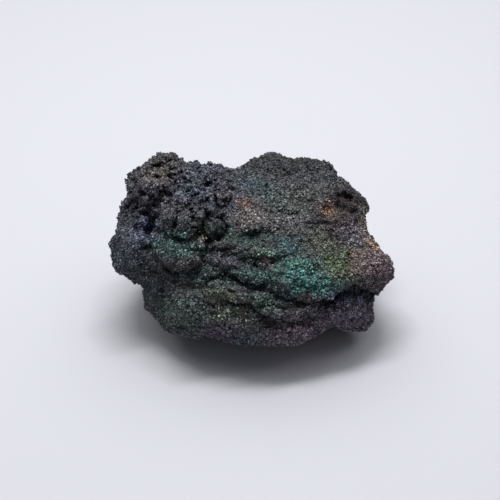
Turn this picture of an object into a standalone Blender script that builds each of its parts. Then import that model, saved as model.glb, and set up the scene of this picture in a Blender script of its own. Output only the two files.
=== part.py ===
"""A hand-sized lump of goethite with an iridescent druse face, resting on a flat broken base.

The lump is one solid. Its druse face is drawn in a frame of its own, in millimetres:
u runs across the face to the right, v runs up the face, and w stands out of it. The face
leans back on the lump, so its normal points forwards and up. Everything on the face is
placed by (u, v). The back is a block of matrix, chipped to shape by broken planes.
"""

import math

import bmesh
import bpy
import numpy as np
from mathutils import Vector, noise

NAME = "goethite_specimen"

# Driving dimensions, in millimetres and degrees.
MM = 0.001
FACE_RISE_DEG = 42.0  # the druse face's normal, above the horizon
FACE_CENTRE_HEIGHT = 27.0  # of the face frame's origin, above the base
BLOCK_DEPTH = 46.0  # of the uncut block, behind the face's rim
RIM_SQUARENESS = 12.0  # exponent of the face's fall to its rim: higher is squarer
SPOKES, RINGS = 300, 90  # of the mesh that the face is drawn on
VOXEL = 0.7
TRIANGLES = 9700
NOISE_SEED = 1795466690  # fixes how the knobs and the hackle are bent

# The druse face's outline, clockwise from the crown, as (u, v).
OUTLINE = [
    (-22.5, 27.2), (-20.5, 26.4), (-17.5, 24.8), (-13.5, 23.2), (-11.0, 23.8),
    (-8.5, 23.2), (-6.2, 22.1), (-3.0, 23.3), (0.0, 25.1), (3.5, 26.6),
    (6.8, 27.5), (9.5, 26.0), (13.5, 25.1), (19.0, 24.9), (23.2, 24.5),
    (24.0, 22.0), (24.6, 20.2), (26.5, 20.0), (28.0, 18.3), (29.8, 16.0),
    (32.4, 15.0), (34.0, 12.0), (32.8, 9.8), (32.7, 6.1), (34.4, 3.1),
    (35.8, 0.3), (39.1, -2.6), (40.3, -5.0), (40.2, -7.2), (38.5, -10.5),
    (35.8, -13.0), (35.1, -14.8), (35.2, -17.5), (35.6, -20.2), (34.3, -22.5),
    (30.0, -23.4), (26.3, -23.3), (24.4, -22.0), (21.2, -22.4), (18.9, -24.6),
    (16.0, -26.4), (11.5, -26.9), (5.5, -26.9), (1.7, -27.5), (-3.0, -26.5),
    (-7.6, -26.0), (-11.5, -24.6), (-13.2, -25.1), (-18.3, -24.3), (-22.0, -24.0),
    (-24.8, -23.1), (-25.8, -20.9), (-27.6, -18.9), (-29.6, -16.9), (-29.9, -12.8),
    (-29.8, -10.2), (-32.1, -9.9), (-33.3, -8.3), (-37.2, -6.5), (-38.5, -4.8),
    (-38.7, -1.4), (-39.3, 0.9), (-38.0, 4.5), (-37.0, 8.2), (-36.6, 11.5),
    (-34.8, 13.5), (-35.2, 15.2), (-35.1, 19.6), (-33.8, 22.5), (-30.5, 25.1),
    (-25.7, 26.8),
]

# How far the broad form of the face stands out, as (u, v, w). A smooth sheet joins them.
FORM = [
    # the rim, from the crown clockwise
    (-22.0, 27.0, -3.0), (-6.0, 22.5, -3.0), (7.0, 27.5, -4.0), (23.0, 24.5, -6.0),
    (33.0, 12.0, -4.0), (32.0, 6.0, -1.0), (40.0, -6.0, 2.0), (35.0, -17.0, -3.0),
    (28.0, -23.5, -1.0), (20.0, -23.5, 1.0), (2.0, -27.5, 4.5), (-13.0, -25.0, 2.0),
    (-25.0, -21.0, 0.0), (-29.5, -11.0, 1.0), (-38.5, -5.0, 2.0), (-39.0, 1.0, 2.0),
    (-36.5, 11.0, 0.0), (-33.0, 22.0, -3.0),
    # the crown and the left flank
    (-24.0, 20.0, 5.0), (-15.0, 16.0, 7.0), (-28.0, 12.0, 6.0), (-18.0, 9.0, 10.0),
    (-33.0, 3.0, 7.5), (-27.0, -3.0, 9.5), (-33.0, -5.0, 7.0), (-26.0, -12.0, 6.0),
    # the sloping top on the right
    (0.0, 17.0, 3.5), (11.0, 19.0, 3.0), (21.0, 15.0, 4.5), (-2.0, 8.0, 9.0),
    (10.0, 7.0, 10.0), (22.0, 4.0, 10.0), (28.0, 9.0, 4.0),
    # the steep front below it
    (-18.0, 0.0, 13.0), (-4.0, -3.0, 14.5), (10.0, -4.0, 15.5), (22.0, -5.0, 14.0),
    (33.0, -4.0, 9.0), (0.0, -14.0, 15.5), (-15.0, -12.0, 12.5), (12.0, -11.0, 15.5),
    (-16.0, -20.0, 9.5), (0.0, -22.0, 12.5), (13.0, -21.0, 9.5), (28.0, -17.0, 7.0),
]

# Masses that stand on the broad form: (u, v, half width, half height, turn in degrees, w).
LUMPS = [
    (-28.4, 17.4, 6.8, 6.6, 20, 5.0),  # the crown's cap
    (-22.8, 25.6, 3.2, 2.6, 10, 2.4),  # the knob on top of it
    (-15.8, 20.8, 6.4, 4.6, -10, 3.2),  # behind the cauliflower
    (-7.9, 17.6, 4.2, 6.0, 10, 3.2),  # the mass beside the saddle
    (-17.7, 12.6, 9.0, 7.5, -5, 5.0),  # the crown's cauliflower
    (-23.0, 8.0, 2.5, 3.0, 10, 3.2),  # lobes along its lower edge
    (-18.2, 8.6, 2.9, 3.9, 0, 3.6),
    (-13.9, 9.2, 2.1, 3.5, -5, 2.8),
    (-10.5, 10.8, 2.2, 3.6, -10, 2.8),
    (-31.3, 9.0, 2.9, 2.6, 30, 2.0),
    (-34.2, 11.0, 2.2, 2.4, 0, 1.4),
    (-19.2, 0.8, 7.4, 6.6, -12, 3.4),  # the cheek
    (-14.3, 1.2, 2.2, 2.4, 0, 1.2),
    (-18.5, -3.8, 4.2, 2.2, 5, 1.0),
    (1.1, 7.0, 3.4, 3.0, -10, 2.0),  # brown knobs under the saddle
    (-4.6, 9.2, 3.4, 2.8, 15, 1.4),
    (-34.5, -1.0, 5.0, 7.5, 10, 2.4),  # the left shoulder
    (-26.8, -13.2, 3.2, 5.4, 5, 2.4),  # the block below the shoulder
    (-18.2, -17.8, 8.0, 7.4, 10, 2.4),  # the belly
    (-5.0, -20.5, 8.0, 5.4, 0, 1.4),
    (9.0, -23.6, 10.0, 4.2, 0, 1.6),
    (34.2, -6.0, 7.0, 6.2, -25, 3.6),  # the nose
    (27.5, -17.6, 8.0, 4.6, 0, 1.5),  # the block below it
    (9.5, 24.0, 6.5, 3.4, 0, 1.8),  # knobs along the top ridge
    (21.5, 22.5, 3.2, 2.8, 0, 1.6),
    (31.0, 12.6, 2.8, 3.2, 20, 2.0),
    (21.1, -12.4, 1.8, 1.5, -10, 1.6),  # the knob in the overhang's mouth
    (10.5, -7.5, 6.5, 3.0, -12, 1.4),  # swellings of the iridescent terraces
    (20.5, -8.5, 5.5, 3.6, 15, 1.4),
    (1.0, -6.0, 5.0, 2.4, -15, 1.0),
    (5.0, -0.6, 6.0, 2.2, 0, 1.0),
    (-9.0, -4.2, 3.2, 2.4, 0, 1.4),
    (-10.0, -11.8, 4.6, 2.6, -15, 1.6),
    (-1.0, -12.8, 5.0, 2.0, -8, 1.4),
    (11.0, -17.6, 6.5, 2.0, 0, 1.2),
]

# Ledges, each a line with the rock above it standing proud and the rock below it cut back:
# (how far the lip stands out, how deep the undercut is, its width, the line's (u, v) points).
LEDGES = [
    (2.2, 7.0, 2.6, [(16.5, -15.0), (20.0, -13.6), (23.0, -12.4), (26.0, -10.4), (29.0, -9.7),
                     (31.8, -10.4), (35.0, -12.0), (40.0, -14.2)]),  # the overhang on the right
    (0.6, 2.2, 1.8, [(-8.5, -3.6), (-5.6, -6.4), (-4.0, -7.4), (-0.8, -9.2), (2.3, -9.8),
                     (6.2, -10.6), (8.5, -13.2), (11.8, -13.9), (15.5, -14.2), (20.3, -13.2)]),
    (0.5, 1.6, 1.6, [(-20.0, -9.4), (-15.4, -10.4), (-12.7, -9.4), (-10.7, -7.2), (-7.0, -7.4),
                     (-3.4, -8.0), (-0.8, -9.8)]),
    (1.1, 2.8, 2.2, [(-1.0, -15.4), (2.0, -17.0), (4.2, -18.2), (7.0, -18.6), (9.3, -19.6),
                     (14.1, -19.9), (15.9, -19.0), (17.7, -17.0), (19.6, -15.2)]),
    (0.8, 1.8, 1.8, [(-9.0, -13.6), (-7.0, -14.4), (-4.0, -14.0), (-1.0, -13.8), (3.0, -15.2)]),
    (0.8, 2.0, 1.8, [(-8.5, -0.6), (-4.5, -1.2), (-0.8, -3.2), (3.5, -3.4), (8.0, -2.2)]),
    (0.9, 1.8, 1.6, [(-3.5, 3.2), (-0.8, 4.4), (1.4, 4.7), (3.7, 5.4), (8.6, 5.8)]),
    (1.8, 3.4, 2.2, [(-33.4, 6.8), (-30.0, 6.2), (-26.0, 5.6), (-23.9, 5.4), (-18.3, 5.1),
                     (-14.1, 5.9), (-10.7, 7.2), (-8.3, 10.4), (-5.5, 13.0)]),  # the cauliflower's
    (1.6, 4.5, 3.4, [(-36.6, 13.6), (-33.0, 12.2), (-28.2, 11.8), (-25.2, 14.4), (-22.6, 18.6),
                     (-21.0, 22.4)]),  # the cap's
    (0.9, 2.8, 2.2, [(-24.5, -2.6), (-22.0, -4.8), (-19.4, -5.8), (-15.5, -5.3), (-12.4, -3.2)]),
    (0.9, 2.2, 2.4, [(19.6, 11.6), (23.0, 12.6), (27.5, 15.0), (30.0, 15.6)]),
]

# Furrows, cut in evenly on both sides: (depth, half width, the line's (u, v) points).
FURROWS = [
    (2.8, 1.0, [(-10.8, 5.6), (-12.3, 3.6), (-12.5, -0.5), (-12.3, -4.8)]),
    (2.2, 1.3, [(-5.2, 22.5), (-4.6, 18.5), (-4.9, 15.0), (-7.0, 11.6)]),
    (1.8, 1.0, [(-11.8, 21.5), (-12.4, 17.0), (-12.6, 13.6)]),
    (1.6, 0.7, [(-21.0, 12.0), (-20.8, 8.5), (-20.8, 5.5)]),  # between the lobes
    (1.6, 0.7, [(-15.4, 12.5), (-15.8, 8.5), (-16.0, 6.0)]),
    (1.4, 0.7, [(-12.0, 13.0), (-12.0, 9.5), (-12.4, 6.5)]),
    (2.4, 2.0, [(-28.2, 4.4), (-28.7, -0.6), (-27.2, -5.0), (-23.8, -9.9), (-23.4, -14.0),
                (-24.4, -20.0)]),
    (1.2, 0.9, [(21.1, 7.0), (23.0, 3.0), (26.0, -1.0), (29.5, -3.6)]),
    (1.6, 1.2, [(20.4, -16.0), (19.6, -19.0), (19.0, -24.0)]),
    (1.0, 0.8, [(21.5, -19.4), (27.6, -19.6), (32.0, -18.8), (34.0, -16.0)]),
    (1.0, 0.9, [(-8.0, -9.0), (-6.5, -5.0), (-8.0, -1.5)]),
    (0.9, 0.9, [(11.0, 15.0), (16.0, 11.0), (21.1, 7.0)]),
]

# Hollows: (u, v, half width, half height, turn in degrees, depth).
HOLLOWS = [
    (-27.9, 6.4, 2.0, 3.6, -5, 5.5),  # the dark hollow under the crown
    (-8.4, 12.0, 1.9, 2.0, 0, 3.6),
    (27.3, 12.4, 4.4, 3.4, -35, 2.2),  # beside the rusty patch
    (30.5, -12.2, 4.6, 1.9, 0, 2.5),  # the mouth of the overhang
]

# What is broken away from the block, as a point on each plane and the way it faces.
BREAKS = [
    ((0, 23.5, 10), (0.08, 1.0, 0.0)),  # the back
    ((11, 22.0, 15), (0.32, 1.0, -0.35)),
    ((-14, 22.5, 20), (-0.3, 1.0, -0.25)),
    ((0, 20.0, 9), (-0.1, 1.0, -0.75)),
    ((-36, 0, 13), (-1.0, 0.1, -0.95)),  # under the left end
    ((37, 0, 9), (1.0, 0.15, -0.95)),  # under the right end
    ((-30, 20, 20), (-1.0, 0.9, -0.25)),  # the two corners at the back
    ((30, 20, 18), (1.0, 0.8, -0.2)),
]
BREAK_ALLOWANCE = 1.5  # left below the base until the last cut, so that the base is sharp


def face_to_world(u, v, w):
    """Face coordinates in millimetres to metres in the part's frame."""
    rise = math.radians(FACE_RISE_DEG)
    y = v * math.sin(rise) - w * math.cos(rise)
    z = v * math.cos(rise) + w * math.sin(rise) + FACE_CENTRE_HEIGHT
    return np.stack([u, y, z], axis=-1) * MM


def world_to_face(points):
    """The other way round, as an array of (u, v, w)."""
    rise = math.radians(FACE_RISE_DEG)
    x, y, z = (points / MM).T
    z = z - FACE_CENTRE_HEIGHT
    return (
        x,
        y * math.sin(rise) + z * math.cos(rise),
        z * math.sin(rise) - y * math.cos(rise),
    )


def outline_radius(angles):
    """The outline's distance from the face's middle in each direction."""
    points = np.array(OUTLINE)
    bearing = np.arctan2(points[:, 1], points[:, 0])
    radius = np.hypot(points[:, 0], points[:, 1])
    order = np.argsort(bearing)
    return np.interp(angles, bearing[order], radius[order], period=2 * math.pi)


def thin_plate(apart):
    """A thin plate's bend at a distance from where it is held, from the distance squared."""
    return apart * np.log(np.maximum(apart, 1e-9))


class Sheet:
    """A thin plate bent through the FORM points."""

    def __init__(self, points, slack=4.0):
        self.at = np.array(points)[:, :2]
        count = len(points)
        apart = ((self.at[:, None] - self.at[None]) ** 2).sum(-1)
        flat = np.hstack([np.ones((count, 1)), self.at])
        system = np.zeros((count + 3, count + 3))
        system[:count, :count] = thin_plate(apart) + slack * np.eye(count)
        system[:count, count:], system[count:, :count] = flat, flat.T
        heights = np.append(np.array(points)[:, 2], np.zeros(3))
        self.pull = np.linalg.solve(system, heights)

    def height(self, u, v):
        apart = (u[..., None] - self.at[:, 0]) ** 2 + (v[..., None] - self.at[:, 1]) ** 2
        flat = self.pull[-3] + self.pull[-2] * u + self.pull[-1] * v
        return thin_plate(apart) @ self.pull[:-3] + flat


def within_oval(u, v, at_u, at_v, half_u, half_v, turn_deg):
    """Distance from an oval's middle, 1 at its edge."""
    turn = math.radians(turn_deg)
    du, dv = u - at_u, v - at_v
    along = du * math.cos(turn) + dv * math.sin(turn)
    across = dv * math.cos(turn) - du * math.sin(turn)
    return np.hypot(along / half_u, across / half_v)


def line_distance(u, v, points):
    """Signed distance from a line, positive above it as it runs to the right, and the share
    of a feature's strength there, which fades to nothing at the line's ends."""
    points = np.array(points)
    starts, runs = points[:-1], np.diff(points, axis=0)
    lengths = np.hypot(*runs.T)
    covered = np.concatenate([[0], np.cumsum(lengths)])
    best = np.full(u.shape, 1e9)
    side, travelled = np.zeros(u.shape), np.zeros(u.shape)
    for start, run, length, before in zip(starts, runs, lengths, covered):
        du, dv = u - start[0], v - start[1]
        share = np.clip((du * run[0] + dv * run[1]) / length**2, 0, 1)
        apart = np.hypot(du - share * run[0], dv - share * run[1])
        cross = run[0] * dv - run[1] * du
        nearer = apart < best
        best = np.where(nearer, apart, best)
        side = np.where(nearer, np.sign(cross), side)
        travelled = np.where(nearer, before + share * length, travelled)
    ends = np.minimum(travelled, covered[-1] - travelled) / covered[-1]
    return best * side, np.clip(ends / 0.16, 0, 1)


def wobble(u, v, size, seed):
    """Smooth noise from -1 to 1 over the face, with waves about size across."""
    spots = np.stack([u / size, v / size, np.full(u.shape, 7.3 * seed)], axis=-1)
    flat = [noise.noise(Vector(p)) for p in spots.reshape(-1, 3)]
    return np.array(flat).reshape(u.shape)


def relief(u, v):
    """What stands on the face's broad form: lumps, ledges, furrows and hollows."""
    u = u + 0.9 * wobble(u, v, 3.2, 1)
    v = v + 0.9 * wobble(u, v, 3.2, 2)
    w = np.zeros(u.shape)
    for *oval, height in LUMPS:
        inside = np.clip(1 - within_oval(u, v, *oval) ** 2, 0, 1)
        w = w + height * inside**0.7
    for lip, undercut, width, points in LEDGES:
        apart, strength = line_distance(u, v, points)
        above = lip * np.exp(-np.abs(apart) / (1.4 * width))
        below = undercut * np.exp(-((apart / width) ** 2))
        step = 1 / (1 + np.exp(-apart / 0.25))
        w = w + strength * (above * step - below * (1 - step))
    for depth, width, points in FURROWS:
        apart, strength = line_distance(u, v, points)
        w = w - strength * depth * np.exp(-((apart / width) ** 2))
    for *oval, depth in HOLLOWS:
        inside = np.clip(1 - within_oval(u, v, *oval) ** 2, 0, 1)
        w = w - depth * inside
    return w


def block_mesh():
    """The uncut lump: rings out from the face's middle to its rim, then back through the block."""
    sheet = Sheet(FORM)
    angles = np.linspace(0, 2 * math.pi, SPOKES, endpoint=False)
    reach = outline_radius(angles)
    rim_u, rim_v = reach * np.cos(angles), reach * np.sin(angles)
    rim_w = sheet.height(rim_u, rim_v)
    shares = (np.arange(RINGS + 1) / RINGS)[:, None]
    u, v = rim_u * shares, rim_v * shares
    fall = np.sqrt(1 - shares**RIM_SQUARENESS)
    w = rim_w + (sheet.height(u, v) + relief(u, v) - rim_w) * fall
    rings = list(face_to_world(u, v, w))
    for back, share in ((7.0, 0.985), (16.0, 0.94), (28.0, 0.86), (BLOCK_DEPTH, 0.74)):
        rings.append(face_to_world(rim_u * share, rim_v * share, rim_w - back))
    bm = bmesh.new()
    middle = bm.verts.new(rings[0][0])
    loops = [[bm.verts.new(p) for p in ring] for ring in rings[1:]]
    for i in range(SPOKES):
        j = (i + 1) % SPOKES
        bm.faces.new((middle, loops[0][i], loops[0][j]))
        for inner, outer in zip(loops, loops[1:]):
            bm.faces.new((inner[i], outer[i], outer[j], inner[j]))
    bm.faces.new(reversed(loops[-1]))
    bmesh.ops.recalc_face_normals(bm, faces=bm.faces)
    return bm


def break_off(bm, point, normal):
    """Breaks off what lies beyond a plane, and closes the break."""
    found = bmesh.ops.bisect_plane(
        bm,
        geom=bm.verts[:] + bm.edges[:] + bm.faces[:],
        plane_co=Vector(point) * MM,
        plane_no=Vector(normal).normalized(),
        clear_outer=True,
        dist=1e-7,
    )
    edges = [e for e in found["geom_cut"] if isinstance(e, bmesh.types.BMEdge)]
    bmesh.ops.contextual_create(bm, geom=edges)


def drop_crumbs(bm):
    """Keeps the lump itself, and drops any crumb that is not joined to it."""
    left, pieces = set(bm.verts), []
    while left:
        piece, edge_of_piece = set(), [left.pop()]
        while edge_of_piece:
            vert = edge_of_piece.pop()
            piece.add(vert)
            joined = {e.other_vert(vert) for e in vert.link_edges} & left
            left -= joined
            edge_of_piece.extend(joined)
        pieces.append(piece)
    lump = max(pieces, key=len)
    bmesh.ops.delete(bm, geom=[v for v in bm.verts if v not in lump], context="VERTS")


def evaluated_mesh(obj):
    """The object's mesh with its modifiers, which then leave it."""
    graph = bpy.context.evaluated_depsgraph_get()
    mesh = bpy.data.meshes.new_from_object(obj.evaluated_get(graph))
    obj.modifiers.clear()
    obj.data = mesh
    return mesh


def knobs(place, size):
    """Rounded cobbles about size across, from 0 in the gaps to 1 on their tops."""
    nearest = noise.voronoi(place / size)[0][0]
    return max(0.0, 1 - (nearest / 0.75) ** 2)


def hackle(place, size):
    """The steps and small facets of a broken surface: each piece has its own height and tilt."""
    nearest = noise.voronoi(place / size)[1][0]
    tilt = noise.cell_vector(nearest * 3.7) - Vector((0.5, 0.5, 0.5))
    return 0.9 * tilt.dot(place / size - nearest) + 0.5 * (noise.cell(nearest * 5.1) - 0.5)


def roughen(mesh):
    """Cauliflower knobs on the crown, small cobbles on the rest of the face, and a hackly
    break on the back and sides."""
    count = len(mesh.vertices)
    points, normals = np.empty(count * 3), np.empty(count * 3)
    mesh.vertices.foreach_get("co", points)
    mesh.vertex_normals.foreach_get("vector", normals)
    points, normals = points.reshape(-1, 3), normals.reshape(-1, 3)
    u, v, w = world_to_face(points)
    crown = np.clip((v - 5.5 + 0.25 * (u + 20)) / 2.5, 0, 1) * np.clip((-5.0 - u) / 3, 0, 1)
    crown *= np.clip((w + 14) / 6, 0, 1)
    broken = np.clip((-w - 6.5) / 5, 0, 1)
    # the underside is left flat, for the base
    under = np.clip(-2.5 * normals[:, 2] - 1, 0, 1) * np.clip(1 - points[:, 2] / MM / 4, 0, 1)
    push = np.zeros(count)
    for i, place in enumerate(points / MM):
        place = Vector(place)
        bent = place + 0.8 * noise.noise_vector(place / 3.0)
        coarse, fine = knobs(bent, 4.6), knobs(bent, 2.7)
        on_crown = 1.9 * coarse + 1.0 * fine - 1.6
        on_face = 0.5 * coarse + 0.35 * fine - 0.3
        on_break = 2.4 * hackle(bent, 11.0) + 0.4 * hackle(bent, 5.0) + noise.noise(place / 14.0)
        smooth = (1 - broken[i]) * on_face + broken[i] * on_break
        push[i] = crown[i] * on_crown + (1 - crown[i]) * smooth
    points += normals * (push * (1 - under) * MM)[:, None]
    mesh.vertices.foreach_set("co", points.ravel())
    mesh.update()


def druse_material():
    """Charcoal goethite, satin where it is a velvet of small crystals."""
    material = bpy.data.materials.new("Goethite")
    material.use_nodes = True
    shader = material.node_tree.nodes["Principled BSDF"]
    shader.inputs["Base Color"].default_value = (0.045, 0.047, 0.052, 1.0)
    shader.inputs["Roughness"].default_value = 0.55
    shader.inputs["Metallic"].default_value = 0.0
    return material


def main():
    for obj in list(bpy.data.objects):
        bpy.data.objects.remove(obj)
    noise.seed_set(NOISE_SEED)
    bm = block_mesh()
    for point, normal in BREAKS:
        break_off(bm, point, normal)
    break_off(bm, (0, 0, -BREAK_ALLOWANCE), (0, 0, -1))
    bmesh.ops.triangulate(bm, faces=bm.faces)
    mesh = bpy.data.meshes.new(NAME)
    bm.to_mesh(mesh)
    bm.free()
    obj = bpy.data.objects.new(NAME, mesh)
    bpy.context.collection.objects.link(obj)

    # An even mesh all over, so that the roughness stands the same way on every side.
    remesh = obj.modifiers.new("Remesh", "REMESH")
    remesh.mode = "VOXEL"
    remesh.voxel_size = VOXEL * MM
    mesh = evaluated_mesh(obj)
    roughen(mesh)
    decimate = obj.modifiers.new("Decimate", "DECIMATE")
    decimate.ratio = TRIANGLES / (2 * len(mesh.polygons))
    mesh = evaluated_mesh(obj)
    mesh.name = NAME

    # The flat base, broken clean, with the part's origin at the middle of its box.
    bm = bmesh.new()
    bm.from_mesh(mesh)
    break_off(bm, (0, 0, 0), (0, 0, -1))
    drop_crumbs(bm)
    bmesh.ops.triangulate(bm, faces=bm.faces)
    low, high = (Vector(map(f, zip(*(v.co for v in bm.verts)))) for f in (min, max))
    bmesh.ops.translate(bm, verts=bm.verts, vec=-Vector((low.x + high.x, low.y + high.y, 0)) / 2)
    bm.to_mesh(mesh)
    bm.free()
    mesh.materials.clear()
    mesh.materials.append(druse_material())


main()
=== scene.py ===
# %% [markdown]
# # A goethite specimen with an iridescent druse
# Goethite is an iron hydroxide. In cavities it grows as crusts of tiny dark crystals, called a
# druse, over rounded knobs. This lump has a knobby crown, a sloping top, a steep front of
# ledges with a peacock tarnish, and a broken back of plain brown matrix.
# The solid model gives its form. This script dresses that form: it copies the solid, cuts the
# copy finer, grows knobs and crevices on it, and then covers it with grains.

# %% Load the frame
import math

import bmesh
import bpy
import numpy as np
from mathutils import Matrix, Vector, noise


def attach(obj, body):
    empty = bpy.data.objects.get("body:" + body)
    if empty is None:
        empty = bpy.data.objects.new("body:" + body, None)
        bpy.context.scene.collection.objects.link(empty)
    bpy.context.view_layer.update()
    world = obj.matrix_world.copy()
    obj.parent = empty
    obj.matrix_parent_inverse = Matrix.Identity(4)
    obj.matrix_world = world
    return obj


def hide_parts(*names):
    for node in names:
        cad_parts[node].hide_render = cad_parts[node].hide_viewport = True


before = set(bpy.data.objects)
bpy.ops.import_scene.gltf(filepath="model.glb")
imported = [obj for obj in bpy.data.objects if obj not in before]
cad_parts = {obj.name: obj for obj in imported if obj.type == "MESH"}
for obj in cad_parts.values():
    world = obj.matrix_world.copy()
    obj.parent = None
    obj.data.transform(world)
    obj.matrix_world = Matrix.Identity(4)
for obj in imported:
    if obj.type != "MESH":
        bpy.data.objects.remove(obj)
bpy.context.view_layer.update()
MM = 0.001  # in metres
NOISE_SEED = 2  # fixes how every edge wanders, which otherwise changes from run to run
noise.seed_set(NOISE_SEED)

# %% [markdown]
# ## The druse face's own coordinates
# The druse face leans back on the lump, so it is easier to think in its own directions: u to
# the right, v up the face, and w straight out of it. All places on the face below are (u, v)
# in millimetres. The two frames differ by a move to the face's middle and a turn about X.

# %% Face coordinates
FACE_RISE = math.radians(42.0)  # the face's normal, above the horizon
FACE_ORIGIN = np.array([-0.45, -0.95, 27.0])  # of the face's frame, in millimetres
DRAWN_FROM = 420.0  # how far in front of the face its places are laid out from, in millimetres


def face_coordinates(points):
    """The u, v and w of points in metres, each an array in millimetres."""
    x, y, z = (points / MM - FACE_ORIGIN).T
    up = y * math.sin(FACE_RISE) + z * math.cos(FACE_RISE)
    out = z * math.sin(FACE_RISE) - y * math.cos(FACE_RISE)
    return x, up, out


def drawn(points):
    """The u, v and w of points, with u and v as they look from 0.42 m in front of the face."""
    u, v, w = face_coordinates(points)
    nearer = DRAWN_FROM / (DRAWN_FROM - w)
    return u * nearer, v * nearer, w


def read_points(mesh, what="place"):
    """The mesh's points, or their normals, as an array of rows."""
    values = np.empty(len(mesh.vertices) * 3)
    if what == "place":
        mesh.vertices.foreach_get("co", values)
    else:
        mesh.vertex_normals.foreach_get("vector", values)
    return values.reshape(-1, 3)


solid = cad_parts["goethite_specimen"]
reach = [(round(a.min(), 1), round(a.max(), 1)) for a in face_coordinates(read_points(solid.data))]
print("the solid's reach in u, v and w, mm:", reach)

# %% [markdown]
# ## The lump
# The real lump is one mass. The solid model has its large forms in flat triangles about 2 mm
# wide, far coarser than the rock. A Remesh modifier cuts a copy into an even net, fine enough
# to carry knobs of 1 mm, and a Smooth modifier takes the flats out of it. The copy is merged
# first, because the solid's mesh comes as loose triangles. The broken back is coarser rock,
# so there the net is thinned again, which leaves more of the triangles for the druse.

# %% Copy the solid and cut it finer
NET_MM = 0.43
SMOOTHING = 4  # rounds
BACK_STARTS = -7.0  # the back is behind this w, in millimetres
BACK_SHARE = 0.12  # of the net that is kept there


def only(obj):
    """Makes obj the only selected object, and the active one."""
    bpy.ops.object.select_all(action="DESELECT")
    obj.select_set(True)
    bpy.context.view_layer.objects.active = obj


def copied(obj, name):
    """A copy of obj, with its own mesh."""
    copy = obj.copy()
    copy.data = obj.data.copy()
    copy.name = name
    bpy.context.collection.objects.link(copy)
    return copy


def apply_modifier(obj, kind, **settings):
    """Adds a modifier with its settings and applies it."""
    only(obj)
    modifier = obj.modifiers.new(kind.title(), kind)
    for name, value in settings.items():
        setattr(modifier, name, value)
    bpy.ops.object.modifier_apply(modifier=modifier.name)


def edit_points(obj, chosen):
    """Enters edit mode with only the chosen points selected."""
    only(obj)
    bpy.ops.object.mode_set(mode="EDIT")
    bpy.ops.mesh.select_mode(type="VERT")
    bpy.ops.mesh.select_all(action="DESELECT")
    net = bmesh.from_edit_mesh(obj.data)
    for vertex, is_chosen in zip(net.verts, chosen):
        vertex.select_set(bool(is_chosen))
    net.select_flush_mode()


def triangles(obj):
    """How many triangles obj's mesh has."""
    obj.data.calc_loop_triangles()
    return len(obj.data.loop_triangles)


lump = copied(solid, "goethite_lump")
only(lump)
bpy.ops.object.mode_set(mode="EDIT")
bpy.ops.mesh.select_all(action="SELECT")
bpy.ops.mesh.remove_doubles(threshold=1e-6)
bpy.ops.object.mode_set(mode="OBJECT")
apply_modifier(lump, "REMESH", mode="VOXEL", voxel_size=NET_MM * MM)
apply_modifier(lump, "SMOOTH", factor=0.5, iterations=SMOOTHING)
edit_points(lump, face_coordinates(read_points(lump.data))[2] < BACK_STARTS)
bpy.ops.mesh.decimate(ratio=BACK_SHARE)
bpy.ops.object.mode_set(mode="OBJECT")
print("lump:", len(lump.data.vertices), "points,", triangles(lump), "triangles")

# %% [markdown]
# ## Where each kind of surface is
# Four kinds of surface meet on the lump: the crown's cauliflower knobs, the finely grained
# sloping top, the ledges of the front, and the broken matrix of the back and underside.
# Each gets a mask from 0 to 1, with soft edges, so that one kind grows into the next. Masks
# could be painted by hand, but the net is cut anew below, and a rule of u, v and w still holds
# after that. The crown is the finest work, so its net is cut once more.

# %% Masks
# where each kind starts and where it is full, in millimetres
BROKEN_BEHIND = (5.0, 11.0)  # behind the face
CROWN_FOOT, TOP_FOOT = (4.8, 7.2), (5.0, 9.0)  # up the face, along lines that fall to the right
CROWN_LEFT = (4.5, 7.5)  # left of the face's middle
CROWN_MIDDLE = -20  # where the crown's foot is measured, in u
CROWN_FALL, TOP_FALL = 0.25, 0.1  # how steeply those lines fall


def ramp(value, start, end):
    """0 before start, 1 after end, and smooth between."""
    share = np.clip((value - start) / (end - start), 0, 1)
    return share * share * (3 - 2 * share)


def kinds(points):
    """The masks of the crown, the top, the front and the break."""
    u, v, w = face_coordinates(points)
    broken = ramp(-w, *BROKEN_BEHIND)
    crown = ramp(v + CROWN_FALL * (u - CROWN_MIDDLE), *CROWN_FOOT)
    crown = crown * ramp(-u, *CROWN_LEFT) * (1 - broken)
    top = ramp(v + TOP_FALL * u, *TOP_FOOT) * (1 - crown) * (1 - broken)
    front = (1 - crown) * (1 - top) * (1 - broken)
    return crown, top, front, broken


shares = [round(100 * mask.mean()) for mask in kinds(read_points(lump.data))]
print("crown, top, front and break, percent of the net:", shares)

# %% Cut the crown's net once more
CROWN_NET = 0.3  # it is cut where the crown's mask is above this

edit_points(lump, kinds(read_points(lump.data))[0] > CROWN_NET)
bpy.ops.mesh.subdivide(number_cuts=1)
bpy.ops.object.mode_set(mode="OBJECT")
print("lump:", len(lump.data.vertices), "points,", triangles(lump), "triangles")

# %% [markdown]
# ## Knobs
# Goethite crusts grow outwards from many seeds until they meet, so their surface is packed
# domes with sharp gaps. A Voronoi pattern is just that: each cell is the ground nearest to one
# seed. A point is pushed out by how far inside its cell it is, and each cell has a height of
# its own, so that some knobs stand proud and a few are missing and leave a pit.
# Sculpting thousands of domes by hand would take days, and a Displace modifier can't bend its
# pattern or follow the masks. Large knobs come first, and small ones grow on their slopes.

# %% One dome
TO_TOP = 0.6  # from a gap to where its dome is full, in cells
MISSING = -0.62  # a cell whose random value, from -1 to 1, is below this is a pit
PIT, MEAN_HEIGHT, SPREAD = -0.5, 0.75, 0.3  # as shares of a full knob's height
SEED_SPREAD = 7.3  # takes each seed to a random cell of its own


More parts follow.
